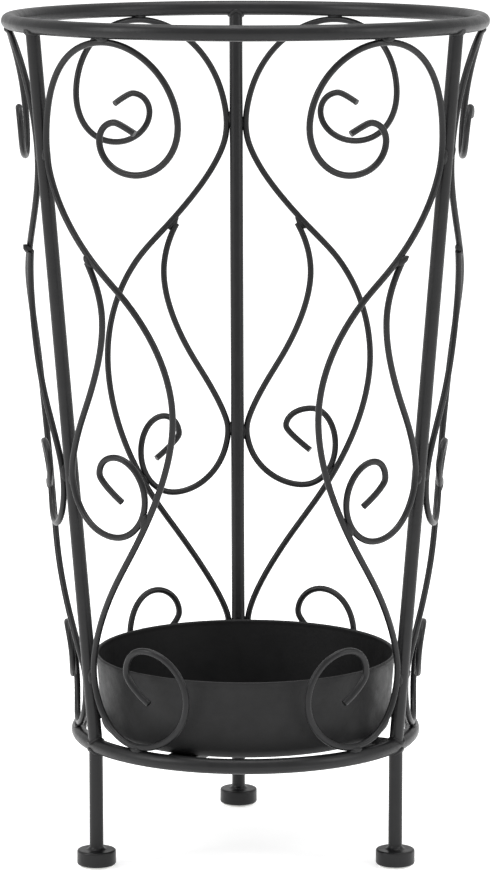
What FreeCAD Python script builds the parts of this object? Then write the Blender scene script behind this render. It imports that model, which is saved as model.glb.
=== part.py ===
import FreeCAD, Part
import math
import os

# Wire-scroll umbrella stand with a lift-out drip tray, standing on three legs.
# Millimetres, +Z up, floor at z = 0, centre line on the Z axis, front towards -Y.

# Overall sizes
overall_diameter = 260.0
overall_height = 456.3
lower_ring_diameter = 190.4
lower_ring_height = 66.8

# Rod and wire stock
ring_rod = 8.2
leg_rod = 7.5
scroll_wire = 3.5
weld_bite = 0.05

# Leg bearings in degrees (at the top ring, at the lower ring), measured from the front
# (-Y) towards +X. The legs are set by hand and lean a little sideways.
leg_bearings = {"left": (-61.2, -61.8), "right": (60.2, 62.4), "back": (182.5, 182.5)}

# Feet
foot_diameter = 21.0
foot_height = 8.2
foot_edge = 1.1
foot_neck_fillet = 2.2
pad_diameter = 17.6
pad_height = 1.2
pad_edge = 0.3

# Flat bars that carry the tray
bar_width = 16.0
bar_thickness = 3.0
bar_drop = 1.0
bar_bearing = -26.0

# Drip tray
tray_side_clearance = 5.0
tray_wall_lean = 3.6
tray_height = 42.2
tray_sheet = 1.2
tray_lip_depth = 2.6
tray_lip_step = 0.7
tray_corner = 5.0
tray_seat_gap = 0.2

# Scroll patterns. Each bend is (mm away from the leg, share of the panel height,
# heading in degrees): 0 points away from the leg, 90 up, 180 to the leg, 270 down.
# The word "leg" places the wire where it just touches the leg.
LEG = "leg"
long_scroll = [
    (72.0, 0.877, 150),
    (60.5, 0.891, 180),
    (49.5, 0.862, 270),
    (69.5, 0.820, 0),
    (98.0, 0.894, 90),
    (58.0, 1.000, 180),
    (LEG, 0.838, 270),
    (50.0, 0.666, 318),
    (79.5, 0.499, 270),
    (40.0, 0.259, 233),
    (LEG, 0.088, 270),
    (38.0, 0.000, 0),
    (70.5, 0.080, 90),
    (49.0, 0.144, 180),
    (34.5, 0.107, 270),
    (48.0, 0.067, 325),
]
short_scroll = [
    (42.0, 0.622, 270),
    (22.0, 0.478, 238),
    (LEG, 0.382, 270),
    (36.0, 0.299, 0),
    (58.0, 0.363, 90),
    (43.0, 0.415, 180),
    (30.0, 0.387, 270),
    (44.0, 0.352, 325),
]
# Places of some bends in the lists above
upper_curl_end = 4
loop_bend = 4
long_scroll_top = 5
long_scroll_weld = 6
waist_bend = 9
lower_curl_side = 12
short_tail = 3
short_scroll_curl_side = 5
short_hook = 6
short_scroll_start = 0.700
short_scroll_start_heading = 300
samples_per_bend = 7
fine_steps = 8

# Every half panel is bent by hand. These are its differences from the two patterns:
# "spread" multiplies the distances from the leg, "bow" pushes the middle of the half
# outwards, "tuck" pulls the upper curl inwards and "lift" raises the short scroll's
# tail (share of the height). The others move one bend or curl away from the leg.
plain_half = {
    "spread": 1.0,
    "bow": 1.5,
    "tuck": 0.0,
    "lift": 0.0,
    "curl": 0.0,
    "loop": 0.0,
    "waist": 0.0,
    "foot_curl": 0.0,
    "hook": 0.0,
}
hand_bends = {
    "front_left": {"spread": 0.99, "bow": 2.6, "loop": -1.5, "lift": 0.006},
    "front_right": {"spread": 0.975, "bow": 1.0, "curl": 2.5, "waist": 1.0, "hook": 3.0},
    "left_front": {"spread": 0.86, "bow": 3.6, "tuck": 1.5, "curl": 12.0, "waist": 12.0},
    "left_back": {"curl": 1.0, "loop": 3.5, "waist": 3.0, "foot_curl": -3.0, "hook": 3.5, "lift": -0.010},
    "right_front": {"spread": 0.86, "bow": 2.6, "tuck": 3.2, "curl": 12.0, "waist": 9.0},
    "right_back": {"curl": -1.2, "hook": -2.5},
}

# Values that follow from the sizes above
ring_r = ring_rod / 2.0
leg_r = leg_rod / 2.0
wire_r = scroll_wire / 2.0
top_radius = overall_diameter / 2.0 - ring_r
top_z = overall_height - ring_r
low_radius = lower_ring_diameter / 2.0 - ring_r
low_z = lower_ring_height
cone_slope = (top_radius - low_radius) / (top_z - low_z)
scroll_top = top_z - ring_r - wire_r + weld_bite
scroll_low = low_z + ring_r + wire_r - weld_bite
leg_touch = leg_r + wire_r - weld_bite
foot_bottom = pad_height
foot_top = foot_bottom + foot_height
bar_top = low_z + bar_thickness / 2.0 - bar_drop
tray_bottom = bar_top + tray_seat_gap
tray_rim_radius = low_radius - ring_r - tray_side_clearance

UP = FreeCAD.Vector(0, 0, 1)
ORIGIN = FreeCAD.Vector(0, 0, 0)


def cone_radius(z):
    return low_radius + (z - low_z) * cone_slope


def at_bearing(radius, bearing, z):
    angle = math.radians(bearing)
    return FreeCAD.Vector(radius * math.sin(angle), -radius * math.cos(angle), z)


def leg_ends(leg):
    top_bearing, low_bearing = leg_bearings[leg]
    return at_bearing(low_radius, low_bearing, low_z), at_bearing(top_radius, top_bearing, top_z)


def leg_bearing(leg, z):
    low, high = leg_ends(leg)
    spot = low + (high - low) * ((z - low.z) / (high.z - low.z))
    return math.degrees(math.atan2(spot.x, -spot.y))


def ring(radius, z):
    return Part.makeTorus(radius, ring_r, FreeCAD.Vector(0, 0, z), UP)


def rod(start, end, radius):
    along = end - start
    return Part.makeCylinder(radius, along.Length, start, along)


def turned(profile, centre):
    face = Part.Face(Part.Wire(profile))
    solid = face.revolve(ORIGIN, UP, 360)
    solid.translate(centre)
    return solid


def line(a, b):
    start = FreeCAD.Vector(a[0], 0, a[1])
    return Part.makeLine(start, FreeCAD.Vector(b[0], 0, b[1]))


def arc(a, middle, b):
    points = [FreeCAD.Vector(p[0], 0, p[1]) for p in (a, middle, b)]
    return Part.Arc(points[0], points[1], points[2]).toShape()


def round_corner(centre, radius, start_deg, end_deg):
    spots = []
    for degrees in (start_deg, (start_deg + end_deg) / 2.0, end_deg):
        angle = math.radians(degrees)
        spots.append((centre[0] + radius * math.cos(angle), centre[1] + radius * math.sin(angle)))
    return arc(spots[0], spots[1], spots[2])


def bow_at(half, z):
    share = max(0.0, min(1.0, (z - scroll_low) / (scroll_top - scroll_low)))
    return half["bow"] * math.sin(math.pi * share) ** 2


def placed(bend, half, shift=0.0, lift=0.0):
    across, share, heading = bend
    height = scroll_low + (share + lift) * (scroll_top - scroll_low)
    if across == LEG:
        across = math.sqrt(leg_touch ** 2 - bow_at(half, height) ** 2)
    else:
        across = across * half["spread"] + shift
    return (across, height, heading)


def long_bends(half):
    bends = []
    for number, bend in enumerate(long_scroll):
        shift = 0.0
        if number < upper_curl_end:
            shift = half["curl"]
        elif number == loop_bend:
            shift = half["loop"]
        elif number == waist_bend:
            shift = half["waist"]
        elif number == lower_curl_side:
            shift = half["foot_curl"]
        bends.append(placed(bend, half, shift))
    return bends


def bend_curve(start, end):
    # Rounded bend between two headings, drawn so that a quarter turn is a quarter ellipse.
    h0 = math.radians(start[2])
    h1 = math.radians(end[2])
    d0 = (math.cos(h0), math.sin(h0))
    d1 = (math.cos(h1), math.sin(h1))
    span = (end[0] - start[0], end[1] - start[1])
    cross = d0[0] * d1[1] - d0[1] * d1[0]
    reach0 = (span[0] * d1[1] - span[1] * d1[0]) / cross
    reach1 = (d0[0] * span[1] - d0[1] * span[0]) / cross
    turn = abs(math.asin(max(-1.0, min(1.0, cross))))
    share = 4.0 / 3.0 * math.tan(turn / 4.0) / math.tan(turn / 2.0)
    p1 = (start[0] + d0[0] * reach0 * share, start[1] + d0[1] * reach0 * share)
    p2 = (end[0] - d1[0] * reach1 * share, end[1] - d1[1] * reach1 * share)
    poles = [start[:2], p1, p2, end[:2]]
    curve = Part.BezierCurve()
    curve.setPoles([FreeCAD.Vector(p[0], p[1], 0) for p in poles])
    return curve


def flat_path(bends):
    path = []
    for start, end in zip(bends[:-1], bends[1:]):
        curve = bend_curve(start, end)
        for step in range(samples_per_bend):
            path.append(curve.value(step / float(samples_per_bend)))
    path.append(FreeCAD.Vector(bends[-1][0], bends[-1][1], 0))
    return path


def fine_path(path):
    curve = Part.BSplineCurve()
    curve.interpolate(path)
    low = curve.FirstParameter
    span = curve.LastParameter - low
    count = fine_steps * len(path)
    return [curve.value(low + span * i / count) for i in range(count + 1)]


def smallest_gap(points, others):
    return min(point.distanceToPoint(other) for point in points for other in others)


def at_height(path, height):
    # First place, going down the long scroll from its leg weld, that reaches the height.
    first = long_scroll_weld * samples_per_bend
    for a, b in zip(path[first:-1], path[first + 1:]):
        if a.y >= height >= b.y:
            share = (a.y - height) / (a.y - b.y)
            return a + (b - a) * share, (b - a).normalize()
    raise ValueError("the short scroll starts outside the long one")


def short_bends(long_path, half):
    start_height = scroll_low + short_scroll_start * (scroll_top - scroll_low)
    spot, along = at_height(long_path, start_height)
    angle = math.atan2(along.y, along.x)
    skew = math.radians(short_scroll_start_heading) - angle
    offset = wire_r * (1.0 + abs(math.cos(skew))) - weld_bite
    across = spot.x + offset * math.sin(angle)
    height = spot.y - offset * math.cos(angle)
    bends = [(across, height, short_scroll_start_heading)]
    for number, bend in enumerate(short_scroll):
        shift = half["hook"] if number >= short_hook else 0.0
        lift = half["lift"] if number >= short_tail else 0.0
        bends.append(placed(bend, half, shift, lift))
    # The curl's outer side moves out until it just touches the long scroll.
    neighbour = fine_path(long_path)
    side = short_scroll_curl_side
    near = bends[side - 1][0] + wire_r
    far = bends[side][0] * 1.5
    for attempt in range(20):
        middle = (near + far) / 2.0
        bends[side] = (middle, bends[side][1], bends[side][2])
        curl = flat_path(bends[side - 2:side + 2])
        if smallest_gap(curl, neighbour) > scroll_wire - weld_bite:
            near = middle
        else:
            far = middle
    return bends


def scroll(path, half, leg, side, tuck):
    points = []
    free = long_scroll_top * samples_per_bend
    for number, spot in enumerate(path):
        radius = cone_radius(spot.y)
        bearing = leg_bearing(leg, spot.y) + side * math.degrees(spot.x / radius)
        pulled = tuck * math.sin(math.pi * number / free) if number < free else 0.0
        points.append(at_bearing(radius + bow_at(half, spot.y) - pulled, bearing, spot.y))
    curve = Part.BSplineCurve()
    curve.interpolate(points)
    spine = Part.Wire([curve.toShape()])
    start = curve.value(curve.FirstParameter)
    along = curve.tangent(curve.FirstParameter)[0]
    section = Part.Wire([Part.makeCircle(wire_r, start, along)])
    return spine.makePipeShell([section], True, True)


def make_foot():
    r = foot_diameter / 2.0
    e = foot_edge
    f = foot_neck_fillet
    base = foot_bottom
    top = foot_top
    neck = leg_r
    outline = [
        line((0, base), (r - e, base)),
        round_corner((r - e, base + e), e, -90, 0),
        line((r, base + e), (r, top - e)),
        round_corner((r - e, top - e), e, 0, 90),
        line((r - e, top), (neck + f, top)),
        round_corner((neck + f, top + f), f, 270, 180),
        line((neck, top + f), (0, top + f)),
        line((0, top + f), (0, base)),
    ]
    return outline


def make_pad():
    r = pad_diameter / 2.0
    e = pad_edge
    return [
        line((0, 0), (r - e, 0)),
        round_corner((r - e, e), e, -90, 0),
        line((r, e), (r, pad_height)),
        line((r, pad_height), (0, pad_height)),
        line((0, pad_height), (0, 0)),
    ]


def make_tray():
    rim_r = tray_rim_radius
    base_r = rim_r - tray_wall_lean
    wall_top_r = rim_r - tray_lip_step
    low = tray_bottom
    rim = tray_bottom + tray_height
    lip_low = rim - tray_lip_depth
    c = tray_corner
    t = tray_sheet
    lean = (wall_top_r - base_r) / (lip_low - low)
    # The rounded corner is tangent to the flat base and to the leaning wall.
    lean_deg = math.degrees(math.atan(lean))
    cos_lean = math.cos(math.radians(lean_deg))
    sin_lean = math.sin(math.radians(lean_deg))
    corner_r = base_r + c * lean - c / cos_lean
    corner = (corner_r, low + c)
    out_end = (corner_r + c * cos_lean, low + c - c * sin_lean)
    ci = c - t
    in_end = (corner_r + ci * cos_lean, low + c - ci * sin_lean)
    inner_top = wall_top_r - t
    lip_mid = (rim_r + inner_top) / 2.0
    lip_half = (rim_r - inner_top) / 2.0
    crown = rim - lip_half
    return [
        line((0, low), (corner_r, low)),
        round_corner(corner, c, -90, -lean_deg),
        line(out_end, (wall_top_r, lip_low)),
        line((wall_top_r, lip_low), (rim_r, lip_low)),
        line((rim_r, lip_low), (rim_r, crown)),
        arc((rim_r, crown), (lip_mid, rim), (inner_top, crown)),
        line((inner_top, crown), (inner_top, lip_low)),
        line((inner_top, lip_low), in_end),
        round_corner(corner, ci, -lean_deg, -90),
        line((corner_r, low + t), (0, low + t)),
        line((0, low + t), (0, low)),
    ]


def flat_bar(start, end, bearing):
    bar = Part.makeBox(end - start, bar_width, bar_thickness)
    bar.translate(FreeCAD.Vector(start, -bar_width / 2.0, bar_top - bar_thickness))
    bar.rotate(ORIGIN, UP, bearing - 90)
    return bar


nodes = {}
top_ring = ring(top_radius, top_z)
lower_ring = ring(low_radius, low_z)
nodes["top_ring"] = top_ring
nodes["lower_ring"] = lower_ring

for name in leg_bearings:
    low, high = leg_ends(name)
    nodes["leg_" + name] = rod(low, high, leg_r).cut(top_ring).cut(lower_ring)
    post_foot = FreeCAD.Vector(low.x, low.y, foot_top + foot_neck_fillet)
    nodes["post_" + name] = rod(post_foot, low, leg_r).cut(lower_ring)
    under = FreeCAD.Vector(low.x, low.y, 0)
    nodes["foot_" + name] = turned(make_foot(), under)
    nodes["pad_" + name] = turned(make_pad(), under)

nodes["tray_bar_long"] = flat_bar(-low_radius, low_radius, bar_bearing).cut(lower_ring)
for name, turn in (("right", 90), ("left", 270)):
    stub = flat_bar(bar_width / 2.0, low_radius, bar_bearing + turn)
    nodes["tray_bar_" + name] = stub.cut(lower_ring)
nodes["tray"] = turned(make_tray(), ORIGIN)

halves = [
    ("front", "left", "left", 1),
    ("front", "right", "right", -1),
    ("left", "front", "left", -1),
    ("left", "back", "back", 1),
    ("right", "front", "right", 1),
    ("right", "back", "back", -1),
]
for panel, end, leg, side in halves:
    name = panel + "_" + end
    half = dict(plain_half)
    half.update(hand_bends[name])
    long_path = flat_path(long_bends(half))
    short_path = flat_path(short_bends(long_path, half))
    nodes["scroll_long_" + name] = scroll(long_path, half, leg, side, half["tuck"])
    nodes["scroll_short_" + name] = scroll(short_path, half, leg, side, 0.0)

os.makedirs("parts", exist_ok=True)
for name, shape in nodes.items():
    solids = shape.Solids
    if len(solids) == 1:
        shape = solids[0]
    print(name, len(solids), shape.isValid(), round(shape.Volume, 1))
    shape.exportStep("parts/" + name + ".step")
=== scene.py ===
import math
import random

import bmesh
import bpy
import numpy
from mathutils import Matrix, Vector, noise
from mathutils.bvhtree import BVHTree


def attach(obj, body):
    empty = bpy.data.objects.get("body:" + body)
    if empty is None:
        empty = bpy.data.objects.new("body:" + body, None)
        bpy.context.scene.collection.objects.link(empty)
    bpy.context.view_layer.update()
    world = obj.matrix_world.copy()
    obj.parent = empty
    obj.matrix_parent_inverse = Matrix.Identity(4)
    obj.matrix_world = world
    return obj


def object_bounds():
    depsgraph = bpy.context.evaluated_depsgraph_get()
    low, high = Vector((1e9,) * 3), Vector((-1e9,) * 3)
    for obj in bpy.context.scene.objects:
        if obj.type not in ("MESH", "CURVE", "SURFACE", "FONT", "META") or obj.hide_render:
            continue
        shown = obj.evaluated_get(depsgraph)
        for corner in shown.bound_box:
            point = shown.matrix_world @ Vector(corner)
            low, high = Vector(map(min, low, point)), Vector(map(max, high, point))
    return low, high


# Camera, looking at the front of the stand from a little above. Distance and height are in
# metres, tilt in degrees, lens and sensor in millimetres.
CAMERA_DISTANCE = 2.100
CAMERA_HEIGHT = 0.5650
CAMERA_TILT = 9.126
CAMERA_LENS = 162.06
CAMERA_SENSOR = 36.0

# Weld beads and seams. Lengths are in metres; steps and sides are counts.
BEAD_REACH = 0.00040
BEAD_SEARCH = 0.002
BEAD_SPACING = 0.014
BEAD_GATHER = 0.008
BEAD_LENGTH = 0.0042
BEAD_WIDTH = 0.0020
BEAD_STAND = 0.0007
BEAD_SMOOTHNESS = 3
STITCH_SPACING = 0.0045
STITCH_LENGTH = 0.0026
STITCH_WIDTH = 0.0014
SEAM_RADIUS = 0.0010
SEAM_STEPS = 72
SEAM_SIDES = 12
SEAM_RUN_UP = 0.03
SEAM_SEARCH = 0.05
POST_RUN_UP = 0.02
ROD_END = 0.004
LEG_RADIUS = 0.00375
WELD_INSET = 0.0002
NOISE_SHIFT = 40.0
SEED = 7

# Floor and studio light: places and sizes in metres, power in watts
FLOOR_HALF_WIDTH = 14.0
LIGHT_TARGET = (0.0, 0.0, 0.25)
LIGHTS = {
    "key": {"place": (-1.9, -0.9, 1.3), "size": (0.6, 1.5), "power": 20.0},
    "fill": {"place": (1.9, -0.9, 1.2), "size": (0.6, 1.5), "power": 13.5},
    "top": {"place": (0.0, 0.1, 2.2), "size": (1.4, 1.4), "power": 22.0},
}
ROOM_LIGHT = 0.85

# Light that the white floor sheet gives off by itself, as a lit studio table does
FLOOR_GLOW = 0.55

# Share of the usual shine that the powder coat keeps
SHEEN = 0.27

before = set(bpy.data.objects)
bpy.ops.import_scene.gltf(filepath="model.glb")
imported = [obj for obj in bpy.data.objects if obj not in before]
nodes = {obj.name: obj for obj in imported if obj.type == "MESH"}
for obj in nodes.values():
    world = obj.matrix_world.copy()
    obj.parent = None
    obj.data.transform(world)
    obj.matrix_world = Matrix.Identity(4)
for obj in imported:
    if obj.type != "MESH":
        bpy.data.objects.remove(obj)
cad_box = [list(corner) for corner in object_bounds()]
weld_limit = cad_box[1][0] - WELD_INSET
rng = random.Random(SEED)


# ---------------------------------------------------------------- node helpers
class Shader:
    """A short way to add nodes to one material and wire them together."""

    def __init__(self, name):
        self.material = bpy.data.materials.new(name)
        self.material.use_nodes = True
        self.tree = self.material.node_tree
        self.tree.nodes.clear()
        self.out = self.add("ShaderNodeOutputMaterial")
        self.bsdf = self.add("ShaderNodeBsdfPrincipled")
        self.link(self.bsdf, "BSDF", self.out, "Surface")
        self.place = self.add("ShaderNodeTexCoord")

    def add(self, kind, **values):
        node = self.tree.nodes.new(kind)
        for key, value in values.items():
            if key in node.inputs:
                node.inputs[key].default_value = value
            else:
                setattr(node, key, value)
        return node

    def link(self, a, out, b, into):
        self.tree.links.new(a.outputs[out], b.inputs[into])

    def noise(self, scale, detail=4.0, roughness=0.55):
        node = self.add("ShaderNodeTexNoise")
        node.inputs["Scale"].default_value = scale
        node.inputs["Detail"].default_value = detail
        node.inputs["Roughness"].default_value = roughness
        self.link(self.place, "Object", node, "Vector")
        return node

    def ramp(self, source, out, stops):
        node = self.add("ShaderNodeValToRGB")
        elements = node.color_ramp.elements
        while len(elements) < len(stops):
            elements.new(0.5)
        for element, (spot, colour) in zip(elements, stops):
            element.position = spot
            element.color = (*colour, 1.0)
        self.link(source, out, node, "Fac")
        return node

    def spread(self, source, out, low, high, new_low, new_high):
        node = self.add("ShaderNodeMapRange")
        node.inputs["From Min"].default_value = low
        node.inputs["From Max"].default_value = high
        node.inputs["To Min"].default_value = new_low
        node.inputs["To Max"].default_value = new_high
        self.link(source, out, node, "Value")
        return node

    def bump(self, source, out, strength, distance, under=None):
        node = self.add("ShaderNodeBump")
        node.inputs["Strength"].default_value = strength
        node.inputs["Distance"].default_value = distance
        self.link(source, out, node, "Height")
        if under:
            self.link(under, "Normal", node, "Normal")
        return node


def powder_coat(name, dark, light, rough_low, rough_high, grain):
    """Satin black coat: faint clouds of tone, patches of shine, a soft ripple and fine grain."""
    shader = Shader(name)
    clouds = shader.noise(38.0, 5.0, 0.6)
    tone = shader.ramp(clouds, "Fac", [(0.30, dark), (0.72, light)])
    shader.link(tone, "Color", shader.bsdf, "Base Color")
    patches = shader.noise(150.0, 3.0)
    gloss = shader.spread(patches, "Fac", 0.3, 0.7, rough_low, rough_high)
    shader.link(gloss, "Result", shader.bsdf, "Roughness")
    ripple = shader.noise(420.0, 2.0)
    peel = shader.bump(ripple, "Fac", 0.20, 0.0004)
    fine = shader.noise(grain, 2.0, 0.7)
    skin = shader.bump(fine, "Fac", 0.32, 0.00012, under=peel)
    shader.link(skin, "Normal", shader.bsdf, "Normal")
    shader.bsdf.inputs["Specular IOR Level"].default_value = SHEEN
    return shader.material


def pad_plastic(name):
    """Pale cloudy plastic with a fine moulded skin."""
    shader = Shader(name)
    clouds = shader.noise(220.0, 4.0)
    tone = shader.ramp(clouds, "Fac", [(0.25, (0.62, 0.62, 0.60)), (0.75, (0.80, 0.80, 0.78))])
    shader.link(tone, "Color", shader.bsdf, "Base Color")
    fine = shader.noise(1500.0, 2.0)
    skin = shader.bump(fine, "Fac", 0.2, 0.0002)
    shader.link(skin, "Normal", shader.bsdf, "Normal")
    gloss = shader.spread(clouds, "Fac", 0.3, 0.7, 0.42, 0.58)
    shader.link(gloss, "Result", shader.bsdf, "Roughness")
    return shader.material


def floor_paper(name):
    """Near-white sheet with faint clouds, lit a little from within."""
    shader = Shader(name)
    clouds = shader.noise(3.0, 3.0)
    tone = shader.ramp(clouds, "Fac", [(0.2, (0.90, 0.90, 0.90)), (0.8, (0.93, 0.93, 0.93))])
    shader.link(tone, "Color", shader.bsdf, "Base Color")
    shader.bsdf.inputs["Roughness"].default_value = 0.9
    shader.bsdf.inputs["Emission Color"].default_value = (1.0, 1.0, 1.0, 1.0)
    shader.bsdf.inputs["Emission Strength"].default_value = FLOOR_GLOW
    return shader.material


frame_coat = powder_coat(
    "frame_coat",
    dark=(0.0050, 0.0050, 0.0054),
    light=(0.0095, 0.0095, 0.0101),
    rough_low=0.30,
    rough_high=0.42,
    grain=2600.0,
)
weld_coat = powder_coat(
    "weld_coat",
    dark=(0.0045, 0.0045, 0.0048),
    light=(0.0100, 0.0100, 0.0105),
    rough_low=0.34,
    rough_high=0.50,
    grain=1400.0,
)
tray_coat = powder_coat(
    "tray_coat",
    dark=(0.0045, 0.0045, 0.0048),
    light=(0.0070, 0.0070, 0.0074),
    rough_low=0.46,
    rough_high=0.58,
    grain=2200.0,
)
pad_coat = pad_plastic("pad_coat")


def coat_for(name):
    if name.startswith("pad_"):
        return pad_coat
    if name == "tray":
        return tray_coat
    return frame_coat


for name, piece in nodes.items():
    piece.data.materials.clear()
    piece.data.materials.append(coat_for(name))


# ---------------------------------------------------------------- weld beads
def corners(name):
    """A piece's points in the shared frame, and its faces."""
    piece = nodes[name]
    points = [piece.matrix_world @ vertex.co for vertex in piece.data.vertices]
    return points, [tuple(polygon.vertices) for polygon in piece.data.polygons]


solids = {}
for name in nodes:
    if name.startswith(("pad_", "foot_")) or name == "tray":
        continue
    points, faces = corners(name)
    cloud = numpy.array([point[:] for point in points])
    solids[name] = {
        "points": points,
        "cloud": cloud,
        "tree": BVHTree.FromPolygons(points, faces),
        "low": cloud.min(axis=0) - BEAD_REACH,
        "high": cloud.max(axis=0) + BEAD_REACH,
    }


def touching(first, second):
    """Points between two rods where their skins lie against each other, closest first."""
    low, high = solids[second]["low"], solids[second]["high"]
    cloud = solids[first]["cloud"]
    inside = numpy.all((cloud > low) & (cloud < high), axis=1)
    found = []
    for index in numpy.nonzero(inside)[0]:
        point = solids[first]["points"][index]
        place, normal, face, gap = solids[second]["tree"].find_nearest(point, BEAD_SEARCH)
        if place is not None and gap < BEAD_REACH:
            found.append((gap, (point + place) / 2.0))
    found.sort(key=lambda pair: pair[0])
    return [spot for gap, spot in found]


def spread_out(spots, spacing):
    """The closest contacts, with at least the spacing between any two of them."""
    kept = []
    for spot in spots:
        if all((spot - other).length > spacing for other in kept):
            kept.append(spot)
    return kept


def contact_line(spots, centre):
    """Direction in which the contact around the centre runs."""
    near = numpy.array([spot[:] for spot in spots if (spot - centre).length < BEAD_GATHER])
    if len(near) < 4:
        return Vector((0.0, 0.0, 1.0))
    spans = near - near.mean(axis=0)
    values, axes = numpy.linalg.eigh(spans.T @ spans)
    return Vector(axes[:, 2]).normalized()


def held_in(point):
    """Keeps weld metal from standing out past the top ring."""
    reach = math.hypot(point.x, point.y)
    if reach > weld_limit:
        point.x *= weld_limit / reach
        point.y *= weld_limit / reach
    return point


def add_bead(build, centre, along, length, width):
    """Lumpy bead of weld metal, longer along the contact than across it."""
    turn = along.to_track_quat("Z", "Y").to_matrix().to_4x4()
    made = bmesh.ops.create_icosphere(build, subdivisions=BEAD_SMOOTHNESS, radius=1.0)
    offset = Vector((rng.random(), rng.random(), rng.random())) * NOISE_SHIFT
    scale = rng.uniform(0.88, 1.12)
    for vertex in made["verts"]:
        broad = 0.16 * noise.noise(vertex.co * 2.1 + offset)
        fine = 0.06 * noise.noise(vertex.co * 6.0 + offset)
        shaped = Vector((vertex.co.x * width, vertex.co.y * width, vertex.co.z * length * scale))
        shaped *= 1.0 + broad + fine
        vertex.co = held_in(centre + turn @ shaped)


def add_seam(build, path, radius):
    """Lumpy closed fillet that follows the line where one rod is coped onto another."""
    count = len(path)
    offset = Vector((rng.random(), rng.random(), rng.random())) * NOISE_SHIFT
    middle = sum(path, Vector()) / count
    rings = []
    for index, spot in enumerate(path):
        ahead = (path[(index + 1) % count] - path[index - 1]).normalized()
        out = (spot - middle).cross(ahead).normalized()
        side = ahead.cross(out).normalized()
        broad = 0.28 * noise.noise(spot * 420.0 + offset)
        fine = 0.12 * noise.noise(spot * 1300.0 + offset)
        lump = 1.0 + broad + fine
        ring = []
        for step in range(SEAM_SIDES):
            angle = 2.0 * math.pi * step / SEAM_SIDES
            swing = out * math.cos(angle) + side * math.sin(angle)
            ring.append(build.verts.new(held_in(spot + swing * radius * lump)))
        rings.append(ring)
    for index in range(count):
        here, there = rings[index], rings[(index + 1) % count]
        for step in range(SEAM_SIDES):
            after = (step + 1) % SEAM_SIDES
            build.faces.new((here[step], here[after], there[after], there[step]))


def coped_line(rod, base, heading):
    """Line around a rod's end, found by sliding points on its skin along it."""
    side = heading.orthogonal().normalized()
    other = heading.cross(side)
    path = []
    for step in range(SEAM_STEPS):
        angle = 2.0 * math.pi * step / SEAM_STEPS
        start = base + (side * math.cos(angle) + other * math.sin(angle)) * LEG_RADIUS
        hit = solids[rod]["tree"].ray_cast(start, heading, SEAM_SEARCH)[0]
        if hit is None:
            return []
        path.append(hit)
    return path


def finish_weld(name, build):
    mesh = bpy.data.meshes.new(name)
    bmesh.ops.recalc_face_normals(build, faces=build.faces)
    build.to_mesh(mesh)
    build.free()
    for polygon in mesh.polygons:
        polygon.use_smooth = True
    weld = bpy.data.objects.new(name, mesh)
    bpy.context.scene.collection.objects.link(weld)
    weld.data.materials.append(weld_coat)
    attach(weld, "frame")


wires = [name for name in solids if name.startswith("scroll_")]
bars = [name for name in solids if name.startswith("tray_bar_")]
rods = [name for name in solids if name.startswith("leg_")] + ["top_ring", "lower_ring"]

beads = bmesh.new()
for number, wire in enumerate(wires):
    for other in rods + wires[number + 1:]:
        spots = touching(wire, other)
        for centre in spread_out(spots, BEAD_SPACING):
            outward = Vector((centre.x, centre.y, 0.0)).normalized() * BEAD_STAND
            add_bead(beads, centre + outward, contact_line(spots, centre), BEAD_LENGTH, BEAD_WIDTH)
finish_weld("weld_beads", beads)

stitches = bmesh.new()
for bar in bars:
    for other in ["lower_ring"] + [name for name in bars if name > bar]:
        spots = touching(bar, other)
        for centre in spread_out(spots, STITCH_SPACING):
            add_bead(stitches, centre, contact_line(spots, centre), STITCH_LENGTH, STITCH_WIDTH)
finish_weld("bar_welds", stitches)

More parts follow.
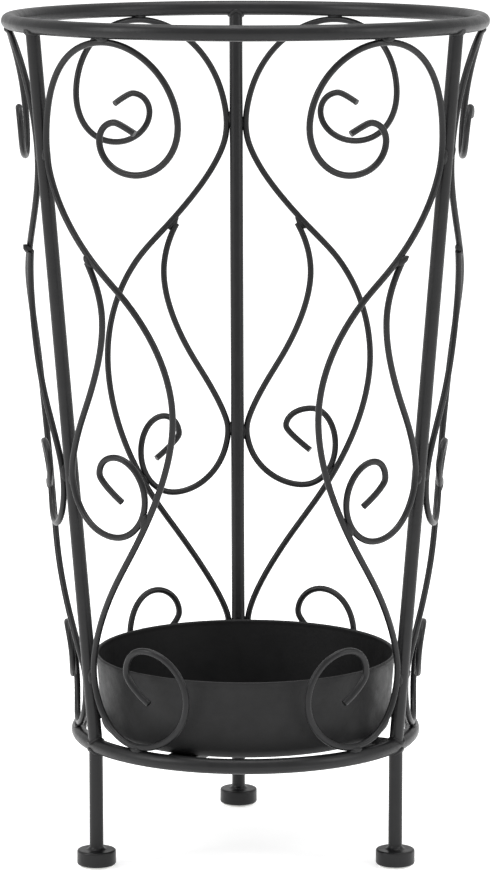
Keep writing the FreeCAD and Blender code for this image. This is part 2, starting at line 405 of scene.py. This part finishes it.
seams = bmesh.new()
for side in ("left", "right", "back"):
    leg = solids["leg_" + side]["cloud"]
    high = Vector(leg[leg[:, 2] > leg[:, 2].max() - ROD_END].mean(axis=0))
    low = Vector(leg[leg[:, 2] < leg[:, 2].min() + ROD_END].mean(axis=0))
    heading = (high - low).normalized()
    post = solids["post_" + side]["cloud"]
    under = Vector((float(post[:, 0].mean()), float(post[:, 1].mean()), float(post[:, 2].min())))
    upward = Vector((0.0, 0.0, 1.0))
    ends = (
        ("top_ring", high - heading * SEAM_RUN_UP, heading),
        ("lower_ring", low + heading * SEAM_RUN_UP, -heading),
        ("lower_ring", under + upward * POST_RUN_UP, upward),
    )
    for rod, base, toward in ends:
        path = coped_line(rod, base, toward)
        if path:
            add_seam(seams, path, SEAM_RADIUS)
finish_weld("weld_seams", seams)


# ---------------------------------------------------------------- floor
floor_mesh = bpy.data.meshes.new("floor")
floor_build = bmesh.new()
bmesh.ops.create_grid(floor_build, x_segments=1, y_segments=1, size=FLOOR_HALF_WIDTH)
floor_build.to_mesh(floor_mesh)
floor_build.free()
floor = bpy.data.objects.new("floor", floor_mesh)
bpy.context.scene.collection.objects.link(floor)
floor.data.materials.append(floor_paper("floor_paper"))


# ---------------------------------------------------------------- light and camera
def area_light(name, place, size, power):
    data = bpy.data.lights.new(name, "AREA")
    data.shape = "RECTANGLE"
    data.size, data.size_y = size
    data.energy = power
    lamp = bpy.data.objects.new(name, data)
    bpy.context.scene.collection.objects.link(lamp)
    lamp.location = place
    lamp.rotation_euler = (Vector(LIGHT_TARGET) - Vector(place)).to_track_quat("-Z", "Y").to_euler()


for name, light in LIGHTS.items():
    area_light(name, light["place"], light["size"], light["power"])

world = bpy.data.worlds.new("studio")
world.use_nodes = True
background = world.node_tree.nodes["Background"]
background.inputs["Color"].default_value = (1.0, 1.0, 1.0, 1.0)
background.inputs["Strength"].default_value = ROOM_LIGHT
bpy.context.scene.world = world
bpy.context.scene.view_settings.view_transform = "Standard"

camera_data = bpy.data.cameras.new("camera")
camera_data.lens = CAMERA_LENS
camera_data.sensor_width = CAMERA_SENSOR
camera = bpy.data.objects.new("camera", camera_data)
camera.location = (0.0, -CAMERA_DISTANCE, CAMERA_HEIGHT)
camera.rotation_euler = (math.radians(90.0 - CAMERA_TILT), 0.0, 0.0)
bpy.context.scene.collection.objects.link(camera)
bpy.context.scene.camera = camera
